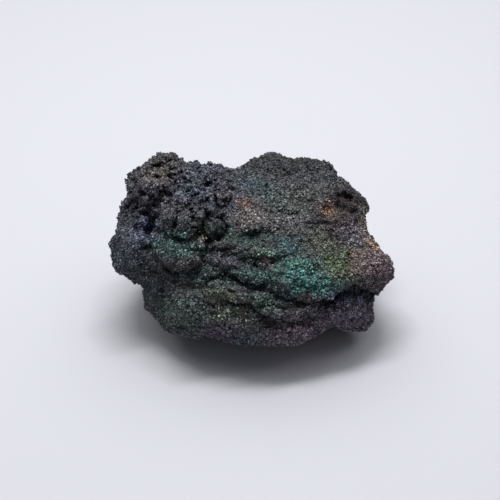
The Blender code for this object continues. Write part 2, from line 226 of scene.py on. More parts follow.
def dome(place, size):
    """Packed domes about size across: near 1 on their tops, and 0 in the gaps."""
    distances, seeds = noise.voronoi(place / size)
    inside = min(1.0, (distances[1] - distances[0]) / TO_TOP)
    own = noise.cell(seeds[0] * SEED_SPREAD)
    height = PIT if own < MISSING else MEAN_HEIGHT + SPREAD * own
    return height * math.sqrt(1 - (1 - inside) ** 2)


# %% Push points out
ROUNDS = 4  # of averaging the normals
BASE_EDGE = (0.2 * MM, 2.0 * MM)  # above the base, where pushing starts and where it is full


def soft_normals(mesh):
    """The points' normals, averaged with their neighbours', so that knobs don't splay out."""
    normals = read_points(mesh, "normal")
    ends = np.empty(2 * len(mesh.edges), dtype=int)
    mesh.edges.foreach_get("vertices", ends)
    start, end = ends[::2], ends[1::2]
    for _ in range(ROUNDS):
        total = normals.copy()
        np.add.at(total, start, normals[end])
        np.add.at(total, end, normals[start])
        normals = total / np.linalg.norm(total, axis=1, keepdims=True)
    return normals


def push_out(obj, amount):
    """Moves each point along its normal by amount millimetres, and keeps the base flat."""
    points, normals = read_points(obj.data), soft_normals(obj.data)
    amount = amount * ramp(points[:, 2], *BASE_EDGE)
    points += normals * (amount * MM)[:, None]
    points[:, 2] = np.maximum(points[:, 2], 0)
    obj.data.vertices.foreach_set("co", points.ravel())
    obj.data.update()
    return amount


# %% Grow the large knobs
BEND, BEND_WAVES = 0.35, 1.6  # how far the cells' edges wander, and in what waves, in cells
LEVEL = 0.5  # of a dome's height: what is above grows out, and what is below sinks in


def grow(obj, size, heights, stretch=1.0):
    """Packed domes of one size, with a height in millimetres for each kind of surface."""
    points = read_points(obj.data)
    u, v, w = face_coordinates(points)
    places = np.stack([u / stretch, v, w], axis=-1)
    domes = np.empty(len(points))
    for i, place in enumerate(places):
        place = Vector(place)
        place += BEND * size * noise.noise_vector(place / (BEND_WAVES * size))
        domes[i] = dome(place, size)
    height = sum(mask * h for mask, h in zip(kinds(points), heights))
    return push_out(obj, height * (domes - LEVEL))


# sizes and heights in millimetres; the heights are for the crown, the top, the front, the break
pushed = grow(lump, 3.6, (0.9, 0.5, 0.45, 0.7), stretch=1.2)
print("large knobs, mm in and out:", round(pushed.min(), 2), round(pushed.max(), 2))

# %% [markdown]
# ## Cobbles
# The front is terraced with rounded lumps the size of a fingernail and less, each a growth of
# its own. They are laid out one by one, as ovals on the face, and pushed out as low domes.
# A sculptor would build them up with the Clay brush.

# %% The cobbles
# (u, v, half width, half height, turn in degrees, height), in millimetres
COBBLES = [
    # the crown: its cap, the pale lobe below it, and the lobes that hang at its foot
    (-24.6, 25.6, 4.2, 1.6, 8, 0.4),
    (-25.4, 21.8, 3.6, 1.4, 0, 0.5),
    (-28.6, 18.4, 3.4, 1.7, 0, 1.2),
    (-23.4, 18.0, 2.2, 2.0, 0, 0.9),
    (-22.6, 8.6, 1.9, 2.6, 10, 2.0),
    (-18.4, 7.9, 2.1, 2.4, -8, 2.4),
    (-15.3, 9.1, 1.1, 2.2, 0, 2.0),
    (-13.2, 9.6, 1.0, 2.0, 0, 1.0),
    (-10.7, 10.4, 1.2, 1.8, 10, 0.8),
    (-27.6, 13.4, 4.2, 3.4, 0, 1.2),
    (-34.2, 15.0, 1.6, 2.2, 0, 0.8),
    # the green shelf under the crown's foot
    (-19.0, 5.2, 5.0, 1.9, 0, 1.2),
    (-11.2, 5.9, 3.8, 3.0, 0, 4.4),
    (-7.4, 15.6, 2.2, 1.6, 0, 1.2),
    (-15.4, 15.0, 2.6, 2.2, 0, 0.9),
    (-19.6, 14.4, 2.2, 1.8, 0, 0.9),
    (-11.3, 22.4, 2.6, 1.4, 0, 0.3),
    # the cheek
    (-13.6, 2.4, 1.4, 2.4, 0, 1.3),
    (-14.6, -2.6, 1.8, 1.2, 0, 0.6),
    (-17.8, -3.2, 3.2, 1.5, 20, 0.5),
    # the terraces, from left to right
    (-7.4, 1.4, 3.4, 1.2, 0, 0.9),
    (-9.9, -2.0, 2.0, 1.8, 0, 0.9),
    (-5.7, -3.4, 2.2, 1.6, 0, 0.8),
    (-0.2, -3.9, 1.3, 1.3, 0, 0.8),
    (4.0, -3.5, 2.1, 1.3, 5, 1.0),
    (1.6, -0.9, 2.4, 1.1, 0, 0.7),
    (5.2, 1.7, 2.5, 0.9, 0, 0.7),
    (7.3, -1.1, 1.9, 1.2, 0, 0.6),
    (-4.2, -6.8, 2.0, 1.2, -10, 0.8),
    (1.2, -7.7, 4.0, 1.9, -8, 1.0),
    (-12.2, -6.4, 1.9, 1.8, 0, 0.7),
    (-9.0, -6.6, 1.6, 1.8, 0, 0.6),
    (-9.2, -9.7, 2.8, 1.3, 0, 0.7),
    (-5.0, -9.9, 2.0, 1.3, 0, 0.7),
    (-3.1, -13.4, 3.2, 1.4, 0, 0.8),
    (3.4, -13.6, 3.6, 2.0, -5, 0.9),
    (9.8, -15.0, 3.2, 1.4, -5, 0.9),
    (9.8, -9.4, 2.3, 1.9, 0, 0.8),
    (13.2, -11.6, 2.7, 1.4, 0, 0.9),
    (17.4, -8.8, 2.4, 1.6, 0, 0.6),
    (21.6, -12.3, 1.7, 1.5, 0, 1.2),
    # the lower ledges
    (6.2, -17.2, 3.6, 1.1, -8, 1.0),
    (-2.8, -16.4, 2.2, 1.0, 0, 0.5),
    (13.2, -17.4, 2.2, 1.4, 0, 0.5),
    (17.2, -16.5, 2.2, 1.6, 0, 0.7),
    (5.6, -23.6, 3.6, 1.8, 0, 0.6),
    (14.2, -22.4, 3.2, 1.8, 0, 0.5),
    (-6.4, -20.0, 3.2, 2.0, 0, 0.4),
]

# %% Raise the cobbles
FRONT_FROM = (-9.0, -5.0)  # in w: nothing is drawn behind the first, and all past the second
COBBLE_WANDER = (0.5, 2.2)  # how far a cobble's edge wanders and in what waves, in millimetres
COBBLE_EDGE = 1.05  # a cobble's edge, and its seam's middle and half width, in half widths
SEAM_AT, SEAM_WIDTH = 1.12, 0.16
SEAM_DEPTH = 0.4  # of the cobble's height


def laid_out(points, wander, waves):
    """The u and v that forms are drawn by, a little astray, and 1 on the front to 0 behind."""
    u, v, w = drawn(points)
    astray = np.array([noise.noise_vector(Vector(place)) for place in points / MM / waves])
    return u + wander * astray[:, 0], v + wander * astray[:, 1], ramp(w, *FRONT_FROM)


def raise_cobbles(obj):
    """Pushes the cobbles out, and gives how deep in a seam between them each point is, 0 to 1."""
    points = read_points(obj.data)
    u, v, in_front = laid_out(points, *COBBLE_WANDER)
    domes, seams, inside = (np.zeros(len(points)) for _ in range(3))
    for centre_u, centre_v, half_u, half_v, turn, height in COBBLES:
        turn = math.radians(turn)
        across = (u - centre_u) * math.cos(turn) + (v - centre_v) * math.sin(turn)
        along = (v - centre_v) * math.cos(turn) - (u - centre_u) * math.sin(turn)
        apart = np.hypot(across / half_u, along / half_v)
        domed = np.sqrt(np.clip(1 - (apart / COBBLE_EDGE) ** 2, 0, 1))
        rim = np.exp(-(((apart - SEAM_AT) / SEAM_WIDTH) ** 2))
        domes += height * domed
        seams = np.maximum(seams, height * rim)
        inside = np.maximum(inside, domed)
    seams *= 1 - inside
    push_out(obj, (domes - SEAM_DEPTH * seams) * in_front)
    return np.minimum(seams, 1) * in_front


seams = raise_cobbles(lump)
print("cobbles:", len(COBBLES))

# %% [markdown]
# ## Crevices
# Between the cobbles and ledges, and in the crown, the rock opens in dark cracks and pits, where
# two growths met or a piece fell out. They are drawn as strokes on the face, as a sculptor would
# with the Crease brush, and each is cut in, with a small lip left proud above it.

# %% The crevices
# (depth, half width, the line's (u, v) points), in millimetres
CREVICES = [
    # the cap and the upper crown
    (1.5, 0.5, [(-28.2, 23.1), (-26.2, 23.9), (-24.5, 24.5), (-22.5, 25.1), (-21.1, 25.1)]),
    (1.4, 0.6, [(-22.3, 23.1), (-20.8, 23.1)]),
    (1.3, 0.5, [(-31.6, 20.6), (-30.1, 20.6), (-28.2, 20.8), (-26.2, 20.3), (-24.2, 20.8)]),
    (1.2, 0.5, [(-23.7, 22.0), (-22.8, 20.6), (-22.3, 19.7)]),
    (1.4, 0.5, [(-22.3, 19.2), (-21.4, 17.7)]),
    (1.2, 0.45, [(-32.4, 19.2), (-31.8, 17.7), (-31.3, 16.1)]),
    (1.2, 0.5, [(-33.8, 16.6), (-33.0, 15.5)]),
    (1.5, 0.6, [(-18.9, 22.0), (-17.5, 21.1)]),
    (1.3, 0.6, [(-18.6, 20.3), (-17.5, 19.7)]),
    (1.4, 0.5, [(-13.2, 21.7), (-12.1, 20.8), (-13.0, 19.4), (-11.5, 18.6)]),
    (1.6, 0.6, [(-10.4, 21.7), (-9.9, 20.0), (-9.0, 18.6)]),
    (1.3, 0.5, [(-8.2, 21.4), (-7.6, 20.0)]),
    (1.5, 0.6, [(-5.4, 17.5), (-4.2, 16.9)]),
    # the crown's middle and its shaded hollows
    (1.4, 0.5, [(-25.4, 16.6), (-25.4, 14.1), (-25.6, 11.8)]),
    (1.2, 0.8, [(-30.7, 16.3), (-28.7, 15.5), (-26.5, 15.2)]),
    (1.3, 0.7, [(-31.3, 12.4), (-29.0, 12.7), (-26.5, 12.4)]),
    (2.6, 1.0, [(-9.6, 13.8), (-9.0, 12.4), (-8.7, 11.0)]),
    (1.8, 0.7, [(-8.7, 11.8), (-6.5, 12.4)]),
    # round the lobes at the crown's foot
    (2.2, 0.7, [(-12.3, 11.3), (-12.1, 9.6), (-11.8, 8.2)]),
    (2.2, 0.7, [(-16.6, 11.5), (-16.5, 10.1), (-16.1, 8.2), (-15.9, 6.5)]),
    (1.6, 0.5, [(-14.4, 10.6), (-14.3, 8.7), (-14.3, 7.0)]),
    (2.0, 0.6, [(-20.5, 10.4), (-20.7, 8.7), (-20.8, 6.2)]),
    (1.0, 0.45, [(-25.9, 9.6), (-25.1, 6.8), (-23.7, 5.9), (-21.1, 5.9), (-18.6, 5.4),
                (-16.9, 5.6), (-15.6, 6.2), (-14.6, 7.2)]),
    (1.7, 1.0, [(-27.3, 8.7), (-27.3, 6.8), (-28.2, 5.1), (-29.0, 3.7)]),
    (1.4, 0.8, [(-33.0, 9.0), (-33.2, 7.6)]),
    # the cheek and the flank
    (3.0, 0.45, [(-12.4, 2.8), (-12.4, 0.0), (-12.4, -3.4)]),
    (1.0, 0.5, [(-12.0, 3.6), (-10.6, 4.2), (-9.3, 4.7)]),
    (1.2, 0.5, [(-16.3, 0.3), (-15.2, -0.3), (-13.8, 0.3)]),
    (1.4, 0.45, [(-18.6, -5.1), (-16.9, -5.4), (-15.2, -4.8), (-13.8, -3.7), (-12.4, -2.5)]),
    (0.9, 0.4, [(-27.6, 1.4), (-27.3, -0.8), (-26.8, -2.5), (-25.1, -3.4), (-23.7, -5.4),
                (-22.3, -6.5)]),
    (0.8, 0.4, [(-23.1, -11.8), (-21.4, -11.5), (-19.7, -11.3), (-19.4, -9.6)]),
    # the upper terraces
    (0.9, 0.35, [(-2.5, 5.4), (-1.4, 4.5), (0.0, 4.8), (1.7, 5.6)]),
    (0.8, 0.35, [(2.0, 0.8), (3.9, 0.3), (5.9, 0.3), (8.2, 0.8)]),
    (0.5, 0.35, [(-11.3, 0.0), (-9.3, -0.3), (-6.8, 0.0), (-3.9, 0.3)]),
    (0.9, 0.35, [(-6.2, -1.7), (-3.9, -1.1), (-2.0, -0.6), (-0.8, 0.0)]),
    (0.9, 0.4, [(8.2, -2.5), (9.9, -2.0), (11.5, -1.1)]),
    (1.1, 0.35, [(-1.7, -2.8), (-1.4, -5.1)]),
    (1.2, 0.4, [(1.4, -3.4), (2.0, -5.1)]),
    (1.0, 0.4, [(-11.5, -3.9), (-10.4, -4.8), (-8.7, -4.2)]),
    (1.0, 0.35, [(-7.6, -5.1), (-5.4, -5.4), (-2.8, -5.1), (-0.3, -5.6), (2.3, -5.4),
                 (4.8, -4.8), (6.8, -3.7)]),
    (0.8, 0.35, [(-13.5, -8.2), (-12.4, -7.9), (-10.7, -7.3)]),
    (0.8, 0.4, [(8.2, -6.8), (10.1, -6.5), (11.8, -7.0)]),
    # the long crack below the upper terraces, and the ledges under it
    (1.4, 0.45, [(-7.0, -5.6), (-6.8, -7.3), (-4.8, -7.3), (-3.4, -8.5), (-2.0, -9.6),
                (-0.3, -10.7), (2.0, -11.0), (3.9, -10.1), (6.2, -9.9)]),
    (1.4, 0.5, [(6.5, -11.8), (7.6, -13.0), (9.3, -13.8), (11.5, -14.1), (13.5, -13.5)]),
    (1.2, 0.5, [(13.0, -14.9), (14.6, -14.9), (16.3, -15.2), (18.0, -14.6)]),
    (0.8, 0.35, [(-6.8, -11.8), (-4.8, -11.3), (-2.5, -11.8), (-0.6, -11.0)]),
    (1.2, 0.5, [(-13.2, -14.6), (-11.8, -14.9), (-11.3, -15.8), (-10.1, -16.1)]),
    (1.1, 0.4, [(-7.9, -14.1), (-6.2, -14.9), (-3.9, -15.5), (-2.0, -14.9), (-0.3, -14.9),
                (0.6, -16.3), (1.1, -17.5)]),
    (1.1, 0.4, [(7.3, -16.1), (9.3, -16.3), (11.3, -17.2), (13.5, -16.9)]),
    (1.3, 0.45, [(1.1, -17.2), (2.5, -18.0), (4.5, -18.6), (6.8, -19.2), (9.3, -19.2)]),
    (0.9, 0.35, [(-4.8, -17.2), (-3.7, -18.3), (-2.0, -18.0)]),
    (0.8, 0.35, [(-1.1, -17.2), (-0.3, -18.0), (0.6, -18.3)]),
    # the lower edge
    (1.2, 0.45, [(8.7, -19.7), (10.4, -20.6), (12.1, -20.6), (13.8, -20.0)]),
    (1.2, 0.5, [(14.4, -18.3), (16.1, -18.9), (17.7, -19.2), (19.7, -19.2)]),
    (0.9, 0.35, [(2.0, -22.8), (3.1, -22.3), (4.5, -21.7)]),
    (0.8, 0.35, [(2.8, -24.2), (4.5, -25.4), (6.8, -25.6)]),
    (0.9, 0.4, [(17.7, -22.3), (19.2, -23.1)]),
    (0.8, 0.35, [(8.2, -23.4), (10.1, -23.9), (12.1, -23.7)]),
    (0.9, 0.4, [(-17.5, -22.3), (-16.3, -23.7)]),
    (1.0, 0.5, [(-8.7, -22.3), (-7.6, -22.0)]),
    (0.7, 0.35, [(-24.5, -14.4), (-23.9, -17.2), (-24.5, -19.7)]),
    # the right: the overhang's mouth, the block below it, and the slope above
    (1.8, 0.7, [(20.3, -14.1), (22.5, -14.4), (24.5, -13.0), (26.5, -11.5), (28.2, -10.4),
                (29.9, -10.1), (31.6, -11.3), (33.5, -11.8), (35.2, -13.0)]),
    (0.9, 0.4, [(19.7, -11.3), (20.3, -13.2), (22.0, -14.1)]),
    (0.8, 0.3, [(20.3, -19.4), (23.4, -18.9), (26.8, -19.4), (31.0, -19.4), (32.7, -18.0),
                (33.8, -16.6)]),
    (0.8, 0.35, [(22.5, -22.0), (26.8, -22.0), (31.0, -21.4)]),
    (1.0, 0.4, [(22.8, 5.6), (23.9, 2.0), (25.6, -0.3), (27.9, -2.0), (30.1, -3.4)]),
    (1.0, 0.5, [(33.5, -9.9), (34.6, -9.3)]),
    # the sloping top
    (1.9, 1.0, [(24.5, 12.7), (26.5, 11.8), (28.5, 11.0), (29.9, 10.7)]),
    (1.2, 0.8, [(24.8, 15.5), (26.8, 15.8), (28.2, 14.4)]),
    (1.2, 0.7, [(16.3, 14.1), (17.5, 14.1), (19.4, 12.7)]),
    (1.2, 0.6, [(3.4, 17.7), (5.1, 18.0)]),
    (1.1, 0.6, [(1.4, 19.2), (3.1, 19.4)]),
    (1.1, 0.6, [(8.5, 10.7), (10.1, 10.1), (13.0, 10.4)]),
    (1.2, 0.6, [(18.3, 7.3), (20.3, 7.6), (22.8, 7.3), (24.8, 7.6)]),
    (1.3, 0.7, [(8.2, 23.1), (9.6, 22.5)]),
]

# %% Cut the crevices
CREVICE_WANDER = (0.4, 1.5)  # how far a stroke wanders and in what waves, in millimetres
CUT_DEPTH, CUT_WIDTH = 0.55, 0.65  # of a stroke's depth and width: the finer knobs add the rest
LIP_HEIGHT, LIP_AT, LIP_WIDTH = 0.25, 2.0, 1.2  # in depths, and in half widths
# a cut counts as a gap: shade is painted there, and fewer grains grow
CUT_PAINTED_SHADE = 1.2  # of a cut 1 mm deep


def line_distance(u, v, line):
    """How far each point is from a line, signed: positive above a line drawn to the right."""
    best, side = np.full(u.shape, np.inf), np.ones(u.shape)
    for (u0, v0), (u1, v1) in zip(line, line[1:]):
        run_u, run_v = u1 - u0, v1 - v0
        share = ((u - u0) * run_u + (v - v0) * run_v) / (run_u**2 + run_v**2)
        share = np.clip(share, 0, 1)
        gap_u, gap_v = u - u0 - share * run_u, v - v0 - share * run_v
        apart = np.hypot(gap_u, gap_v)
        nearer = apart < best
        best = np.where(nearer, apart, best)
        side = np.where(nearer, np.sign(run_u * gap_v - run_v * gap_u), side)
    return best * side


def cut_crevices(obj):
    """Cuts the crevices in, and gives how deep in one each point is, from 0 to 1."""
    points = read_points(obj.data)
    u, v, in_front = laid_out(points, *CREVICE_WANDER)
    amount, cuts = np.zeros(len(points)), np.zeros(len(points))
    for depth, width, line in CREVICES:
        apart = line_distance(u, v, line)
        depth, width = CUT_DEPTH * depth, CUT_WIDTH * width
        cut = depth * np.exp(-((apart / width) ** 2))
        lip = np.exp(-(((apart - LIP_AT * width) / (LIP_WIDTH * width)) ** 2))
        amount += LIP_HEIGHT * depth * lip - cut
        cuts = np.maximum(cuts, cut)
    push_out(obj, amount * in_front)
    return np.minimum(CUT_PAINTED_SHADE * cuts, 1) * in_front


cuts = cut_crevices(lump)
print("crevices:", len(CREVICES))

# %% [markdown]
# ## Small knobs and the gaps
# Now the small knobs grow over the cobbles and the walls of the cuts. How deep in a gap each
# point lies is kept with the mesh, as an attribute, because shade is painted there, darker on
# the crust and on the grains, and the grains are fewer. An attribute follows the points, so it
# needs no image and no unwrapping.

# %% Grow the small knobs and keep the gaps
# a seam between cobbles counts as a gap: shade is painted there, and fewer grains grow
SEAM_PAINTED_SHADE = 0.6  # of a seam between cobbles
SMALL_GAPS = (0.3, 0.95)  # millimetres sunk between small knobs: a gap starts, and is full


def keep(mesh, name, values):
    """Keeps a value for each point of a mesh, as an attribute with this name."""
    kept = mesh.attributes.new(name, "FLOAT", "POINT")
    kept.data.foreach_set("value", values.astype(np.float32))


pushed = grow(lump, 2.0, (0.9, 0.4, 0.42, 0.4), stretch=1.15)
pushed += grow(lump, 1.1, (0.6, 0.4, 0.4, 0.25))
pushed += grow(lump, 0.65, (0.3, 0.0, 0.0, 0.0))
# painted shade goes where the gap is deep, on the crust and on the grains
gap = np.maximum(ramp(-pushed, *SMALL_GAPS), np.maximum(SEAM_PAINTED_SHADE * seams, cuts))
keep(lump.data, "gap", gap)
lump.data.polygons.foreach_set("use_smooth", np.ones(len(lump.data.polygons), dtype=bool))
print("small knobs, mm in and out:", round(pushed.min(), 2), round(pushed.max(), 2))
print("in gaps:", round(100 * gap.mean()), "percent of the net")

# %% [markdown]
# ## Colours
# Goethite is charcoal. Its tarnish, a skin of oxide thinner than light's wavelength, turns
# parts of it blue, teal, green, olive and plum. Rust and cream limonite show where the druse
# is missing. A thin film could be worked out in the shader, but its colour hangs on a thickness
# that nobody has measured, so each tint is a soft patch on the face, with its edge broken up by
# noise. A group of nodes holds the colours, so that the lump and its grains share them.

# %% Helpers for materials
def colour(hex_code):
    """A colour from its sRGB hex code, as the linear values that nodes use."""
    parts = [int(hex_code[i : i + 2], 16) / 255 for i in (1, 3, 5)]
    linear = [p / 12.92 if p <= 0.04045 else ((p + 0.055) / 1.055) ** 2.4 for p in parts]
    return (*linear, 1.0)


def add_node(tree, kind, inputs=None, **settings):
    """Adds a node with its settings. An input is a value, or another node's output."""
    node = tree.nodes.new(kind)
    for name, value in settings.items():
        setattr(node, name, value)
    for name, value in (inputs or {}).items():
        if isinstance(value, bpy.types.NodeSocket):
            tree.links.new(value, node.inputs[name])
        else:
            node.inputs[name].default_value = value
    return node


def wandering(tree, place, waves, wander, detail):
    """A place that noise takes astray: by up to half of wander each way, in waves this long."""
    noisy = add_node(tree, "ShaderNodeTexNoise",
                     {"Vector": place, "Scale": 1 / waves, "Detail": detail})
    centred = add_node(tree, "ShaderNodeVectorMath",
                       {0: noisy.outputs["Color"], 1: (0.5, 0.5, 0.5)}, operation="SUBTRACT")
    astray = add_node(tree, "ShaderNodeVectorMath",
                      {0: centred.outputs[0], "Scale": wander}, operation="SCALE")
    moved = add_node(tree, "ShaderNodeVectorMath", {0: place, 1: astray.outputs[0]},
                     operation="ADD")
    return moved.outputs[0]


# %% The tints
# (u, v, half width, half height, turn in degrees, strength, colour), sizes in millimetres
TINTS = [
    # the left flank, slate blue, and its foot, blue-green
    (-34.4, -0.6, 11.0, 14.0, 0, 0.9, "#4c5c70"),
    (-26.2, -11.3, 8.0, 10.0, 0, 0.9, "#324452"),
    # the crown: violet on the left, blue on the right, and a pale tan cap
    (-26.8, 15.5, 12.0, 8.0, 0, 0.9, "#7e788e"),
    (-10.7, 14.9, 13.0, 10.0, 0, 0.9, "#666c84"),
    (-12.0, 22.8, 11.0, 4.0, 0, 0.8, "#6a768a"),
    (-16.9, 16.9, 5.0, 4.5, 0, 0.8, "#6a8498"),
    (-19.2, 9.0, 9.0, 5.0, 0, 0.8, "#787884"),
    (-8.0, 15.5, 3.5, 3.5, 0, 0.8, "#8a7c80"),
    (-25.4, 21.4, 7.5, 4.0, 12, 0.9, "#9c9088"),
    (-22.6, 25.4, 3.5, 2.0, 0, 0.9, "#6e5458"),
    (-28.5, 6.8, 7.0, 5.5, 0, 0.9, "#7a84ac"),
    # the cheek, green, with a brown foot and a tan knob
    (-19.7, 1.8, 10.0, 6.0, 0, 0.9, "#68a098"),
    (-17.5, -3.8, 6.0, 2.8, 0, 0.9, "#70605e"),
    # the shelf under the crown's foot: its own green, painted lighter to offset the crown's shadow
    # on it
    (-11.6, 6.2, 4.2, 2.6, 0, 0.9, "#7cb29c"),
    (-13.2, 3.4, 2.4, 2.6, 0, 0.9, "#b09c7c"),
    # the terraces: green to teal, with the brightest cyan high up
    (-11.3, -7.6, 11.0, 5.5, 0, 0.9, "#5a7674"),
    (1.4, -6.5, 10.0, 6.0, 0, 0.9, "#3f7470"),
    (-1.4, 3.9, 15.0, 5.5, 0, 1.0, "#2e5c50"),
    (10.0, -4.0, 12.0, 6.5, -10, 0.9, "#3f8c7c"),
    (17.0, -8.4, 12.0, 7.5, -12, 1.0, "#3a9e96"),
    (11.3, 1.4, 6.0, 4.0, 0, 0.9, "#38808a"),
    (3.4, -0.6, 5.0, 2.2, 0, 0.8, "#7ea488"),
    (-7.6, 1.6, 4.2, 1.7, 0, 0.9, "#6e5a60"),
    (-7.0, -3.4, 6.0, 3.4, 0, 0.8, "#6a6a7c"),
    (4.2, -3.4, 4.0, 2.2, 0, 0.9, "#806a6a"),
    # olive and ochre where the tarnish thins towards the nose
    (19.7, 2.2, 9.0, 4.5, 0, 0.9, "#6c745e"),
    (24.2, -3.8, 8.0, 7.0, -30, 1.0, "#6c8458"),
    (29.6, -3.6, 4.5, 7.5, -20, 0.9, "#8c7864"),
    (35.6, -4.2, 8.5, 8.0, 0, 1.0, "#90747c"),
    (36.6, -9.9, 6.0, 3.5, 0, 0.9, "#604a58"),
    # the lower terraces: olive, green, and a pinkish rim
    (-7.5, -12.4, 9.5, 3.6, -6, 0.8, "#626e4c"),
    (3.4, -14.1, 6.0, 4.4, 0, 0.8, "#568068"),
    (15.5, -13.3, 7.0, 2.4, 0, 0.9, "#886c74"),
    (9.8, -12.4, 4.5, 2.6, 0, 0.8, "#3c7480"),
    # the belly: grey-green, with a plum and slate lower edge
    (-19.0, -17.0, 11.0, 9.0, 0, 0.9, "#5e786e"),
    (-5.0, -17.8, 10.0, 4.0, 0, 0.8, "#94a68a"),
    (-8.0, -22.4, 8.5, 3.6, 0, 0.9, "#806c8a"),
    (13.0, -23.2, 14.0, 6.5, 8, 1.0, "#a488a0"),
    (-1.0, -25.2, 7.0, 3.6, 0, 0.8, "#587484"),
    # the block below the nose, violet, painted lighter to offset the nose's shade on it, and the
    # indigo hollow above it
    (28.0, -19.0, 13.0, 8.0, 0, 1.0, "#82748c"),
    (26.0, -13.2, 9.0, 3.2, 0, 0.9, "#707aa4"),
    # the sloping top: a slate ridge, a blue patch, grey, and plum on the right
    (12.7, 24.0, 16.0, 6.0, 0, 0.9, "#40444c"),
    (13.4, 12.6, 11.0, 8.0, 0, 0.8, "#747874"),
    (5.6, 15.0, 9.0, 5.0, -20, 0.8, "#5a7472"),
    (1.2, 18.4, 6.5, 5.0, 0, 0.8, "#486674"),
    (25.0, 9.6, 10.0, 11.0, 0, 0.9, "#5c4448"),
    (27.0, 14.2, 6.0, 4.5, -30, 0.9, "#452c32"),
    (28.4, 4.8, 5.5, 4.5, 0, 0.8, "#988ca0"),
    (-0.2, 9.4, 7.0, 5.5, 0, 1.0, "#948888"),
    (8.0, 7.2, 9.0, 4.0, 0, 0.7, "#827e80"),
]
RUST = [
    (-1.2, 13.2, 4.4, 1.9, -8, 0.9, "#a87058"),
    (21.8, 10.8, 3.0, 3.6, 20, 1.0, "#b07c44"),
    (32.2, 8.0, 1.6, 7.0, -8, 0.9, "#d8c4a4"),
    (34.2, 1.6, 2.0, 4.6, 35, 0.9, "#c09464"),
]
PLAIN = "#5e6068"  # goethite between the tints
LIMONITE, MASSIVE = "#6c5c4a", "#3a383c"  # earthy limonite and massive goethite, in the matrix
print("patches of colour:", len(TINTS), "tints and", len(RUST), "of rust and limonite")

# %% Lay the tints on the face
SOFT_EDGE = 0.8  # of the way from a patch's rim to its middle


def add_patches(tree, place, start, patches, rim):
    """Mixes soft oval patches over a colour, one after another. rim is how far in they start."""
    mixed = start
    for u, v, half_u, half_v, turn, strength, tint in patches:
        turned = add_node(
            tree, "ShaderNodeMapping",
            {"Vector": place, "Location": (u, v, 0), "Rotation": (0, 0, math.radians(turn)),
             "Scale": (half_u, half_v, 1e6)},  # so deep that w has no say
            vector_type="TEXTURE",
        )
        oval = add_node(tree, "ShaderNodeTexGradient", {"Vector": turned.outputs[0]},
                        gradient_type="SPHERICAL")
        share = add_node(
            tree, "ShaderNodeMapRange",
            {"Value": oval.outputs["Fac"], "From Min": rim, "From Max": rim + SOFT_EDGE,
             "To Max": strength},
            interpolation_type="SMOOTHSTEP",
        )
        mix = add_node(tree, "ShaderNodeMix", {0: share.outputs[0], 6: mixed, 7: colour(tint)},
                       data_type="RGBA")
        mixed = mix.outputs[2]
    return mixed


# %% The broken matrix's colour
BLOTCH_MM = 6.25
BLOTCH_EDGE = (0.42, 0.58)  # of the noise: limonite below, massive goethite above


def matrix_colour(tree, place):
    """Blotches of limonite on plain goethite."""
    blotches = add_node(tree, "ShaderNodeTexNoise",
                        {"Vector": place, "Scale": 1 / BLOTCH_MM, "Detail": 6.0})
    share = add_node(tree, "ShaderNodeMapRange",
                     {"Value": blotches.outputs["Fac"], "From Min": BLOTCH_EDGE[0],
                      "From Max": BLOTCH_EDGE[1]})
    matrix = add_node(tree, "ShaderNodeMix",
                      {0: share.outputs[0], 6: colour(LIMONITE), 7: colour(MASSIVE)},
                      data_type="RGBA")
    return matrix.outputs[2]


# %% The group of colours
PATCH_WAVES, PATCH_WANDER = 5.0, 5.0  # of the patches' edges, in millimetres
RUST_RIM = 0.1  # rust starts this far in, and the tints at their rims
MATRIX_FROM = (-7.0, -12.0)  # in w: the matrix's colour starts, and is full
TINT_SATURATION, TINT_VALUE = 0.8, 0.95  # how much of the tints' own is kept


def goethite_colours():
    """The group: the goethite's colour in each place, or a little way off, by Drift."""
    tree = bpy.data.node_groups.new("Goethite colours", "ShaderNodeTree")
    tree.interface.new_socket("Colour", in_out="OUTPUT", socket_type="NodeSocketColor")
    tree.interface.new_socket("Drift", in_out="INPUT", socket_type="NodeSocketVector")
    place = add_node(tree, "ShaderNodeTexCoord").outputs["Object"]
    drift = add_node(tree, "NodeGroupInput").outputs["Drift"]
    drifted = add_node(tree, "ShaderNodeVectorMath", {0: place, 1: drift}, operation="ADD")
    # to the face's frame, in millimetres
    moved = add_node(tree, "ShaderNodeVectorMath",
                     {0: drifted.outputs[0], 1: tuple(-FACE_ORIGIN * MM)}, operation="ADD")
    on_face = add_node(tree, "ShaderNodeMapping",
                       {"Vector": moved.outputs[0], "Rotation": (FACE_RISE - math.pi / 2, 0, 0),
                        "Scale": (1 / MM,) * 3}, vector_type="POINT").outputs[0]
    spot = wandering(tree, on_face, PATCH_WAVES, PATCH_WANDER, detail=4.0)
    tinted = add_patches(tree, spot, colour(PLAIN), TINTS, rim=0.0)
    rusty = add_patches(tree, spot, tinted, RUST, rim=RUST_RIM)
    muted = add_node(tree, "ShaderNodeHueSaturation",
                     {"Saturation": TINT_SATURATION, "Value": TINT_VALUE, "Color": rusty})
    depth = add_node(tree, "ShaderNodeSeparateXYZ", {0: on_face})
    behind = add_node(tree, "ShaderNodeMapRange",
                      {"Value": depth.outputs["Z"], "From Min": MATRIX_FROM[0],
                       "From Max": MATRIX_FROM[1]},
                      interpolation_type="SMOOTHSTEP")
    mixed = add_node(tree, "ShaderNodeMix",
                     {0: behind.outputs[0], 6: muted.outputs[0], 7: matrix_colour(tree, on_face)},
                     data_type="RGBA")
    add_node(tree, "NodeGroupOutput", {"Colour": mixed.outputs[2]})
    return tree


COLOURS = goethite_colours()
print("group of colours:", len(COLOURS.nodes), "nodes")
